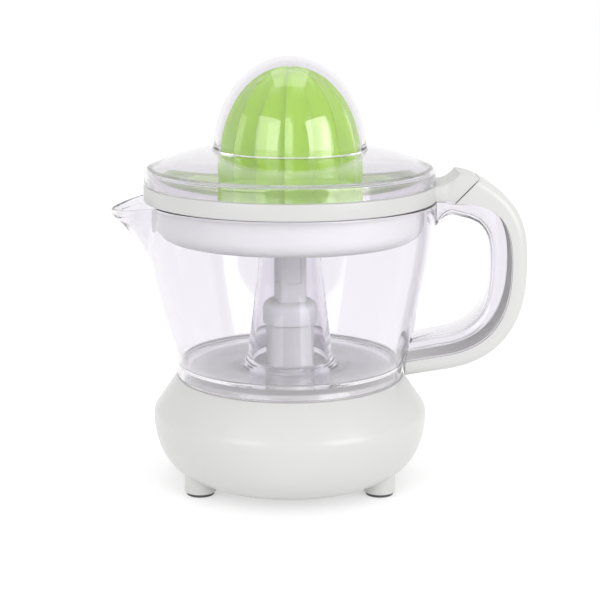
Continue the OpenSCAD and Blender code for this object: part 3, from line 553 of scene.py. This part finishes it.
# %% The dust cover
cover_wall, edge_r, edge_z = 1.8, 3.0, cover_z + 8.0
dome_z, dome_r, dome_fillet = cover_z + 16.0, cone_r + 1.9, 0.5
dome_sink, dome_steps = 2, 32


def cover_line(inset):
    """The cover's face from its lower edge to the dome's apex"""
    bend = [(cover_r - edge_r + (edge_r - inset) * cos(radians(a)),
             edge_z - edge_r + (edge_r - inset) * sin(radians(a)))
            for a in (0, 17, 34, 51, 68)]
    slope = curve((cover_r - 8, edge_z + 2.2 - inset), (cover_r - 16, edge_z + 5.5 - inset),
                  (dome_r + 10, dome_z - 0.6 - inset), (dome_r + dome_fillet, dome_z - inset), 14)
    height = dome_top - inset - dome_z + dome_sink
    dome = [((dome_r - inset) * cos(radians(90) * i / dome_steps),
             dome_z - dome_sink + height * sin(radians(90) * i / dome_steps))
            for i in range(dome_steps + 1)]
    dome[-1] = (0, dome_top - inset)
    return bend + slope + [p for p in dome if p[1] > dome_z - inset + dome_fillet]


lip_out, lip_in, lip_z = ring_r - 3.2, ring_r - 4.8, cover_z - 3
under = cover_line(cover_wall)
bend_end_z = under[4][1]
outer_part = [p for p in under if p[0] > lip_out]
inner_part = [p for p in under if p[0] < lip_in]
cover = turned([(cover_r, cover_z, 0.4)] + cover_line(0) + inner_part[::-1]
               + [(lip_in, bend_end_z + 0.5), (lip_in, lip_z, 0.3), (lip_out, lip_z, 0.3),
                  (lip_out, bend_end_z - 0.1)]
               + outer_part[::-1] + [(cover_r - cover_wall, cover_z, 0.4)])
cover_piece = finished("domed_cover", cover, "cover", "clear_san", "dust_cover")

# %% [markdown]
# ## The motor base
# The housing is a glossy white moulding with a soft crease, a raised deck inside the jug's
# foot ring and a hollow tower for the spindle. A single skin would do for the outside, but
# the motor stands inside, so the outline has both faces of the wall. Two curves that share
# a tangent make the crease: a tight one over it and a long one down to the foot.

# %% The housing's outline
base_z, base_foot, base_wall = 6.0, base_r - 16.5, 2.4
deck_r, crease_z, plateau_top = 56.4, deck_top - 18.5, deck_top + 3.0
tower_r, tower_in, bore = 12.0, 10.0, 8.3
deck_wall, plateau_edge, plateau_in = 2.5, 51.0, 48.6


def base_side(inset):
    """The side from the deck's edge over the crease and down the bowl"""
    flare = (base_r - 1.2 - inset, crease_z + 3.0)
    bend = curve(flare, (base_r - 0.2 - inset, crease_z + 1.2), (base_r - inset, crease_z - 1.0),
                 (base_r - 0.3 - inset, crease_z - 4), 10)
    bowl = curve((base_r - 0.6 - inset, crease_z - 7), (base_r - 2.5 - inset, crease_z - 19),
                 (base_r - 8 - inset, base_z + 2.5), (base_foot - inset, base_z), 22)
    return bend + bowl


housing_outline = (
    [(tower_in, tower_z, 0.4), (tower_r, tower_z, 0.5), (tower_r, plateau_top, 1.5),
     (plateau_edge, plateau_top, 0.8), (plateau_edge, deck_top, 0.4), (deck_r, deck_top, 0.5)]
    + base_side(0) + base_side(base_wall)[::-1]
    + [(deck_r - base_wall, deck_top - deck_wall), (plateau_in, deck_top - deck_wall),
       (plateau_in, plateau_top - deck_wall), (tower_r, plateau_top - deck_wall),
       (tower_r, deck_top - deck_wall), (bore, deck_top - deck_wall),
       (bore, deck_top), (tower_in, deck_top)])
housing = turned(housing_outline, steps=240)
print("housing faces:", len(housing.faces))

# %% [markdown]
# The mains lead comes in at the back. Its hole has a ragged rim, because whole faces are
# taken out of both sides of the wall. A collar covers that rim, as a grommet would, and
# that is quicker and cleaner than a boolean through a curved wall.

# %% The lead's inlet, cut through both faces at the back
inlet_z, inlet_r, inlet_out = 22.0, 4.2, 6.6
hole_r, back_y, collar_in, collar_out = 5.3, 40, 51.2, 64.9


def from_inlet(f):
    """How far a face's middle stands from the inlet's axis"""
    middle = f.calc_center_median()
    return hypot(middle.x, middle.z - inlet_z * MM)


hole = [f for f in housing.faces
        if f.calc_center_median().y > back_y * MM and from_inlet(f) < hole_r * MM]
bmesh.ops.delete(housing, geom=hole, context="FACES")
open_edges = [e for e in housing.edges if e.is_boundary]
bmesh.ops.bridge_loops(housing, edges=open_edges)
collar = turned([(inlet_r, collar_in, 0.4), (inlet_out, collar_in),
                 (inlet_out, collar_out, 0.6), (inlet_r, collar_out, 0.6)], steps=64)
bmesh.ops.rotate(collar, verts=collar.verts, cent=(0, 0, 0),
                 matrix=Matrix.Rotation(-pi / 2, 3, "X"))
bmesh.ops.translate(collar, verts=collar.verts, vec=(0, 0, inlet_z * MM))
join(housing, collar)
print("inlet edges bridged:", len(open_edges))

# %% [markdown]
# Four short legs come out of the bowl's underside, and keep the cooling slots off the table.
# Each is a tube with a rounded foot, and a rubber pad is pushed into it. The tubes are turned
# one by one and moved to their corners, because the four stand on a rectangle and not a ring.

# %% Legs and rubber pads
leg_x, leg_y, leg_r, pad_h = 44.0, 27.0, 7.8, 1.5
leg_in, leg_top, plug_r, plug_top = 5.4, 13.5, 5.35, 4.0
pads = bmesh.new()
for x in (-leg_x, leg_x):
    for y in (-leg_y, leg_y):
        leg = turned([(leg_in, pad_h), (leg_r, pad_h, 0.6), (leg_r, leg_top),
                      (leg_in, leg_top)], steps=64)
        pad = turned([(0, 0), (leg_r - 1, 0, 0.5), (leg_r - 1, pad_h), (plug_r, pad_h),
                      (plug_r, plug_top, 0.4), (0, plug_top)], steps=64)
        for part in (leg, pad):
            bmesh.ops.translate(part, verts=part.verts, vec=(x * MM, y * MM, 0))
        join(housing, leg)
        join(pads, pad)
housing_piece = finished("motor_housing", housing, "base", "white_abs", "base_housing")
pads_piece = finished("foot_pads", pads, "base", "dark_rubber", "rubber_feet")

# %% [markdown]
# ## The drive spindle
# The spindle carries the reamer. A bell-shaped collar goes down over the tower and keeps
# juice out, and a tube below it reaches into the base. Both are round and are one outline.

# %% The spindle's collar and tube
tube_r, tube_in, tube_low, bell_wall = 7.9, 5.9, low("drive_spindle")[2], 1.2
collar_low, collar_high, bell_roof = tower_z - 6, tower_z + 5, tower_z + 3
spindle = turned([(tube_in, tube_low, 0.3), (tube_r, tube_low, 0.4), (tube_r, bell_roof),
                  (collar_r - bell_wall, bell_roof), (collar_r - bell_wall, collar_low, 0.3),
                  (collar_r, collar_low, 0.5), (collar_r, collar_high, 3.6), (0, collar_high),
                  (0, tower_z + 2), (tube_in, tower_z + 2)], steps=128)
print("collar and tube faces:", len(spindle.faces))

# %% [markdown]
# The shaft on the collar has four flats, which turn the reamer. A cylinder with its sides cut
# off would need a boolean. A square with bevelled corners is the same section, and it is
# extruded upward. Each flat has a shallow recess, made by an inset that is pushed inward.

# %% The spindle's shaft
flat_half, shaft_round, shaft_turn = 6.8, 2.05, radians(17.5)
recess_margin, recess_slope, recess_depth = 1.1, 0.3, 0.6
shaft = bmesh.new()
square = bmesh.ops.create_grid(shaft, x_segments=1, y_segments=1, size=flat_half * MM)["verts"]
bmesh.ops.bevel(shaft, geom=square, offset=shaft_round * MM, segments=6, profile=0.5,
                affect="VERTICES", material=-1)
bmesh.ops.translate(shaft, verts=shaft.verts, vec=(0, 0, (collar_high - 1) * MM))
ledge_z = collar_high + 8
for top in (ledge_z, spindle_top - 3, spindle_top):
    cap = [max(shaft.faces, key=lambda f: f.calc_center_median().z)]
    new = bmesh.ops.extrude_face_region(shaft, geom=cap)["geom"]
    if top > ledge_z:
        bmesh.ops.delete(shaft, geom=cap, context="FACES_ONLY")
    for v in [g for g in new if isinstance(g, bmesh.types.BMVert)]:
        v.co.z = top * MM
bmesh.ops.recalc_face_normals(shaft, faces=shaft.faces)
least_flat = 9 * 40 * MM * MM
flats = [f for f in shaft.faces if abs(f.normal.z) < 0.1 and f.calc_area() > least_flat]
bmesh.ops.inset_individual(shaft, faces=flats, thickness=recess_margin * MM, depth=0,
                           use_even_offset=True)
bmesh.ops.inset_individual(shaft, faces=flats, thickness=recess_slope * MM,
                           depth=-recess_depth * MM, use_even_offset=True)
crown = [e for e in shaft.edges if all(abs(v.co.z - spindle_top * MM) < 1e-6 for v in e.verts)]
bmesh.ops.bevel(shaft, geom=crown, offset=0.8 * MM, segments=3, profile=0.5,
                affect="EDGES", material=-1)
bmesh.ops.rotate(shaft, verts=shaft.verts, cent=(0, 0, 0),
                 matrix=Matrix.Rotation(shaft_turn, 3, "Z"))
print("flats with a recess:", len(flats))
join(spindle, shaft)
spindle_piece = finished("drive_spindle_body", spindle, "spindle", "white_pp", "drive_spindle")

# %% [markdown]
# ## Materials
# One function turns an sRGB hex value to the linear colour that Blender wants, and one adds
# a node with its settings and links. Every pattern reads Object coordinates, which are metres
# here and move with the piece, so a grain can be given its real size.

# %% Colour and nodes
def colour(hex_value):
    parts = [int(hex_value[i:i + 2], 16) / 255 for i in (1, 3, 5)]
    return [c / 12.92 if c <= 0.04045 else ((c + 0.055) / 1.055) ** 2.4 for c in parts] + [1]


def add(tree, kind, inputs=(), **settings):
    """A new node: a socket given as a value is linked, anything else is set"""
    node = tree.nodes.new(kind)
    for key, value in settings.items():
        setattr(node, key, value)
    for key, value in dict(inputs).items():
        if isinstance(value, bpy.types.NodeSocket):
            tree.links.new(value, node.inputs[key])
        else:
            node.inputs[key].default_value = value
    return node


def finish_of(name):
    """An empty node material: (material, tree, its output node, object coordinates in metres)"""
    material = bpy.data.materials.new(name)
    material.use_nodes = True
    tree = material.node_tree
    tree.nodes.clear()
    place = add(tree, "ShaderNodeTexCoord").outputs["Object"]
    return material, tree, add(tree, "ShaderNodeOutputMaterial"), place


print("pure white is", colour("#FFFFFF"))

# %% [markdown]
# ### Clear SAN
# SAN is a hard, glassy plastic with an IOR of 1.57. Moulded and polished, it is almost as
# clear as glass, with a faint lilac cast, slow waves from the melt's flow and a soft haze.
# The green one is only half clear, so that the ribs' own shade shows. Glass throws a dark
# shadow in Cycles unless caustics are traced. So a shadow ray meets a transparent shader
# instead: untinted in the clear plastic, and faintly green in the reamer.

# %% Clear SAN
san_ior, haze_mm = 1.57, 6


def clear_plastic(name, tint, shade, roughness, wave_mm, wave_depth_mm, clearness=1.0,
                  gloss=0.5):
    """A glassy plastic: shade is what its shadow is tinted with, clearness its share of glass"""
    material, tree, out, place = finish_of(name)
    waves = add(tree, "ShaderNodeTexNoise",
                {"Vector": place, "Scale": 1 / (wave_mm * MM), "Detail": 1})
    haze = add(tree, "ShaderNodeTexNoise",
               {"Vector": place, "Scale": 1 / (haze_mm * MM), "Detail": 3})
    rough = add(tree, "ShaderNodeMapRange", {"Value": haze.outputs["Fac"], "From Min": 0.3,
                "From Max": 0.7, "To Min": roughness * 0.6, "To Max": roughness * 1.5})
    bump = add(tree, "ShaderNodeBump",
               {"Height": waves.outputs["Fac"], "Distance": wave_depth_mm * MM})
    glass = add(tree, "ShaderNodeBsdfPrincipled", {
        "Base Color": colour(tint), "Transmission Weight": clearness, "IOR": san_ior,
        "Specular IOR Level": gloss, "Roughness": rough.outputs["Result"],
        "Normal": bump.outputs["Normal"]})
    through = add(tree, "ShaderNodeBsdfTransparent", {"Color": colour(shade)})
    path = add(tree, "ShaderNodeLightPath")
    mix = add(tree, "ShaderNodeMixShader", {"Fac": path.outputs["Is Shadow Ray"]})
    tree.links.new(glass.outputs[0], mix.inputs[1])
    tree.links.new(through.outputs[0], mix.inputs[2])
    tree.links.new(mix.outputs[0], out.inputs["Surface"])
    return material


clear_san = clear_plastic("clear_san_moulded", "#F3F1F5", "#FFFFFF", 0.02, 14, 0.02)
green_san = clear_plastic("lime_san_moulded", "#B6E022", "#F6FCE6", 0.12, 9, 0.02,
                          clearness=0.5, gloss=1.0)
print("glassy finishes:", clear_san.name, green_san.name)

# %% [markdown]
# ### Opaque plastics
# ABS for the housing and the grip is glossy and slightly warm, PP for the strainer is duller
# and waxy. Both show a very fine ripple where the mould was polished, and a faint, slow change
# in shade and gloss from the pigment's flow. The ripple is left out of the gloss: there it
# shows as bright flakes. The strainer's basket and the spindle have whites painted lighter than
# its ring's, to make up for the light that the clear jug in front of them takes.

# %% Opaque plastics
flow_mm = 45


def opaque_plastic(name, base, flow, roughness, grain_mm, grain_depth_mm):
    """A moulded plastic whose shade drifts between base and flow"""
    material, tree, out, place = finish_of(name)
    slow = add(tree, "ShaderNodeTexNoise",
               {"Vector": place, "Scale": 1 / (flow_mm * MM), "Detail": 2})
    shade = add(tree, "ShaderNodeMix", {"Factor": slow.outputs["Fac"]}, data_type="RGBA")
    shade.inputs[6].default_value, shade.inputs[7].default_value = colour(base), colour(flow)
    grain = add(tree, "ShaderNodeTexNoise",
                {"Vector": place, "Scale": 1 / (grain_mm * MM), "Detail": 1})
    rough = add(tree, "ShaderNodeMapRange", {"Value": slow.outputs["Fac"], "From Min": 0.25,
                "From Max": 0.75, "To Min": roughness * 0.97, "To Max": roughness * 1.03})
    bump = add(tree, "ShaderNodeBump",
               {"Height": grain.outputs["Fac"], "Distance": grain_depth_mm * MM})
    body = add(tree, "ShaderNodeBsdfPrincipled", {
        "Base Color": shade.outputs[2], "Roughness": rough.outputs["Result"],
        "Normal": bump.outputs["Normal"]})
    tree.links.new(body.outputs[0], out.inputs["Surface"])
    return material


white_abs = opaque_plastic("white_abs_gloss", "#C3C3C2", "#BFBFBE", 0.24, 2.5, 0.0012)
ring_pp = opaque_plastic("white_pp_ring", "#BEBEBD", "#BABAB9", 0.34, 1.6, 0.0012)
# The basket's white is painted lighter than the ring's, to make up for the light the clear jug
# takes from it
white_pp = opaque_plastic("pp_satin_painted_lighter", "#E2E2E2", "#DEDEDF", 0.36, 1.6, 0.0012)
# The spindle's white is painted lighter too, to make up for the light the jug's clear column takes
# from it
spindle_pp_painted_lighter = opaque_plastic("pp_spindle_painted_lighter", "#D4D4D4", "#D0D0D1", 0.36, 1.6, 0.0012)
acetal = opaque_plastic("acetal_ivory", "#E8E2CF", "#E2DBC6", 0.35, 1.2, 0.002)
rubber = opaque_plastic("dark_rubber", "#4A4C4E", "#404244", 0.75, 0.5, 0.006)
phenolic = opaque_plastic("black_phenolic", "#1C1B1A", "#262422", 0.4, 0.8, 0.004)
red_plastic = opaque_plastic("red_abs", "#B3261E", "#A8221B", 0.3, 1.0, 0.002)
ferrite = opaque_plastic("ferrite_sintered", "#3A3A3D", "#2E2E31", 0.6, 0.4, 0.006)
lead_pvc = opaque_plastic("brown_pvc", "#6B4226", "#5F3A21", 0.45, 0.8, 0.002)
print("whites:", white_abs.name, ring_pp.name, white_pp.name, spindle_pp_painted_lighter.name)

# %% [markdown]
# ### Metals
# Zinc-plated steel has a fine crystalline mottle of a few tenths of a millimetre. Spring wire
# and brass are drawn or cut, so their grain is stretched into fine lines. All keep the
# shader's own IOR, because a metal's reflection comes from its colour.

# %% Metals
def metal(name, base, second, roughness, grain_mm, stretch=(1, 1, 1)):
    """A metal with a grain; stretch draws the grain out into lines"""
    material, tree, out, place = finish_of(name)
    along = add(tree, "ShaderNodeMapping", {"Vector": place, "Scale": stretch})
    grain = add(tree, "ShaderNodeTexNoise", {"Vector": along.outputs["Vector"],
                "Scale": 1 / (grain_mm * MM), "Detail": 3})
    shade = add(tree, "ShaderNodeMix", {"Factor": grain.outputs["Fac"]}, data_type="RGBA")
    shade.inputs[6].default_value, shade.inputs[7].default_value = colour(base), colour(second)
    rough = add(tree, "ShaderNodeMapRange", {"Value": grain.outputs["Fac"],
                "To Min": roughness * 0.7, "To Max": roughness * 1.4})
    body = add(tree, "ShaderNodeBsdfPrincipled", {"Base Color": shade.outputs[2], "Metallic": 1,
               "Roughness": rough.outputs["Result"]})
    tree.links.new(body.outputs[0], out.inputs["Surface"])
    return material


zinc_steel = metal("zinc_plated_steel", "#BFC1C4", "#A9ACB1", 0.32, 0.6)
spring_steel = metal("drawn_spring_steel", "#A7A9AC", "#8E9195", 0.28, 0.4, (1, 1, 4))
brass = metal("cut_brass", "#D0AE5E", "#BF9C4C", 0.3, 0.5, (1, 1, 6))
print("metals:", zinc_steel.name, spring_steel.name, brass.name)

# %% [markdown]
# The winding is lacquered copper wire, and its turns lie 0.4 mm apart. Hundreds of modelled
# turns would be a great many faces inside a closed can, so a wave along Z draws them, as a bump
# and as painted shade: its troughs darken the colour in the grooves between turns, and its crests
# lighten it as a painted highlight. A wave of scale 1 repeats every tau / 20 of a metre, so the
# pitch is turned to a scale that way.

# %% The copper winding
copper_wire, tree, out, place = finish_of("lacquered_copper_wire")
wire_pitch_mm = 0.4
turns = add(tree, "ShaderNodeTexWave",
            {"Vector": place, "Scale": tau / 20 / (wire_pitch_mm * MM), "Distortion": 0.4},
            wave_type="BANDS", bands_direction="Z", wave_profile="SIN")
# The dark colour is painted shade in the grooves between turns, and the light colour is a painted
# highlight on their crests
shade = add(tree, "ShaderNodeMix", {"Factor": turns.outputs["Fac"]}, data_type="RGBA")
shade.inputs[6].default_value, shade.inputs[7].default_value = colour("#5A2A14"), colour("#C26A3A")
bump = add(tree, "ShaderNodeBump", {"Height": turns.outputs["Fac"], "Distance": 0.1 * MM})
wire = add(tree, "ShaderNodeBsdfPrincipled", {"Base Color": shade.outputs[2], "Metallic": 1,
           "Roughness": 0.3, "Normal": bump.outputs["Normal"], "Coat Weight": 0.6})
tree.links.new(wire.outputs[0], out.inputs["Surface"])
print("turns in 10 mm of winding:", round(10 / wire_pitch_mm))

# %% [markdown]
# ### Who gets what
# The new pieces and the CAD nodes that stay, all of them inside the base, get the finish of
# the real material. The strainer is one moulding of one white, but its basket's white is
# painted lighter to make up for the light the clear jug takes. So its ring's faces, which are
# those above the jug's rim and far out, take a second slot with the ring's own darker white.

# %% Giving out the finishes
finishes = {
    clear_san: [jug_piece, cover_piece],
    green_san: [shell_piece, socket_piece],
    white_abs: [housing_piece, grip_piece, "bottom_cover"],
    white_pp: [strainer_piece],
    spindle_pp_painted_lighter: [spindle_piece],
    acetal: ["thrust_washer", "switch_lever", "terminal_block", "coil_bobbin", "rotor_pinion"],
    rubber: [pads_piece],
    phenolic: ["microswitch"],
    red_plastic: ["switch_button"],
    ferrite: ["rotor_magnet"],
    lead_pvc: ["lead_wires"],
    spring_steel: ["return_spring", "spindle_circlip", "shaft_clip"],
    zinc_steel: ["cover_screws", "motor_screws", "switch_screws", "terminal_screws", "motor_can",
                 "gear_cover", "gear_plate", "rotor_axle", "idler_pin", "lever_pin",
                 "output_shaft", "spring_seat"],
    brass: ["idler_gear", "output_gear", "output_bush", "switch_terminals"],
    copper_wire: ["coil_winding"],
}
for material, members in finishes.items():
    for member in members:
        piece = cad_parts[member] if isinstance(member, str) else member
        if not piece.data.materials:
            piece.data.materials.append(material)
        for place_in_list in piece.material_slots:
            place_in_list.material = material
ring_faces_z, ring_faces_r = rim_z + 0.1, 64
# The ring's faces take the darker white, and the rest of the strainer keeps the white painted
# lighter
strainer_piece.data.materials.append(ring_pp)
for face in strainer_piece.data.polygons:
    face.material_index = int(face.center.z > ring_faces_z * MM
                              and face.center.xy.length > ring_faces_r * MM)
print("finishes:", len(finishes) + 1)

# %% [markdown]
# ## Studio
# The press stands on a pale matte floor in soft, even light. Clear plastic has hardly any look
# of its own and shows what lies behind it, so the floor has to be as bright as the white
# surround. Lamps strong enough for that would burn out the white housing, so the floor glows
# a little instead.

# %% Floor and surround
scene = bpy.context.scene
scene.view_settings.view_transform = "Standard"
# Light passes many clear walls, one behind the other, and is thrown about inside each. With
# the usual few bounces it is lost there, which shows as black lines
scene.cycles.max_bounces, scene.cycles.transmission_bounces = 32, 28
scene.cycles.glossy_bounces, scene.cycles.transparent_max_bounces = 24, 24
floor_mesh = bpy.data.meshes.new("studio_floor")
floor_bm = bmesh.new()
bmesh.ops.create_grid(floor_bm, x_segments=1, y_segments=1, size=20)
floor_bm.to_mesh(floor_mesh)
floor_bm.free()
floor = bpy.data.objects.new("studio_floor", floor_mesh)
scene.collection.objects.link(floor)
floor_paint, tree, out, place = finish_of("pale_matte_paint")
paint = add(tree, "ShaderNodeBsdfPrincipled", {"Base Color": colour("#C4C4C4"), "Roughness": 1,
            "Specular IOR Level": 0, "Emission Color": (1, 1, 1, 1), "Emission Strength": 0.45})
tree.links.new(paint.outputs[0], out.inputs["Surface"])
floor_mesh.materials.append(floor_paint)
surround = bpy.data.worlds.new("white_surround")
scene.world = surround
surround.use_nodes = True
background = surround.node_tree.nodes["Background"]
background.inputs["Color"].default_value = (1, 1, 1, 1)
background.inputs["Strength"].default_value = 1.0
print("floor and surround:", floor.name, surround.name)

# %% [markdown]
# Three large square lamps give the soft highlights on the housing and the reamer. The one in
# front on the right is the strongest, the one on the left fills, and one overhead lights the
# cover and draws the soft shadow under the base. Large lamps give soft edges.

# %% Lamps
def soft_lamp(name, at, size, watts):
    """A square lamp that faces the middle of the press"""
    light = bpy.data.lights.new(name, "AREA")
    light.shape, light.size, light.energy = "SQUARE", size, watts
    lamp = bpy.data.objects.new(name, light)
    lamp.location = at
    lamp.rotation_euler = (Vector((0, 0, 0.1)) - Vector(at)).to_track_quat("-Z", "Y").to_euler()
    scene.collection.objects.link(lamp)


soft_lamp("front_left_lamp", (-0.8, -1.1, 0.6), 0.9, 5)
soft_lamp("front_right_lamp", (1.0, -0.95, 0.55), 0.9, 8)
soft_lamp("overhead_lamp", (0.0, 0.2, 1.5), 1.0, 3)
print("lamps:", len(bpy.data.lights))

# %% [markdown]
# ## Camera
# A long lens, three quarters of a metre in front of the press and a little above it, looks
# slightly down. A short lens close by would make the dome and the handle bulge. The small
# shift centres the press with its handle, without turning the camera.

# %% Camera
look_down = 12.4
camera_data = bpy.data.cameras.new("view")
camera_data.lens, camera_data.sensor_width, camera_data.shift_x = 93, 36, 0.0167
camera = bpy.data.objects.new("view", camera_data)
camera.location = (0, -0.7524, 0.257)
camera.rotation_euler = (radians(90 - look_down), 0, 0)
scene.collection.objects.link(camera)
scene.camera = camera
print("camera:", camera.name, camera_data.lens, "mm")
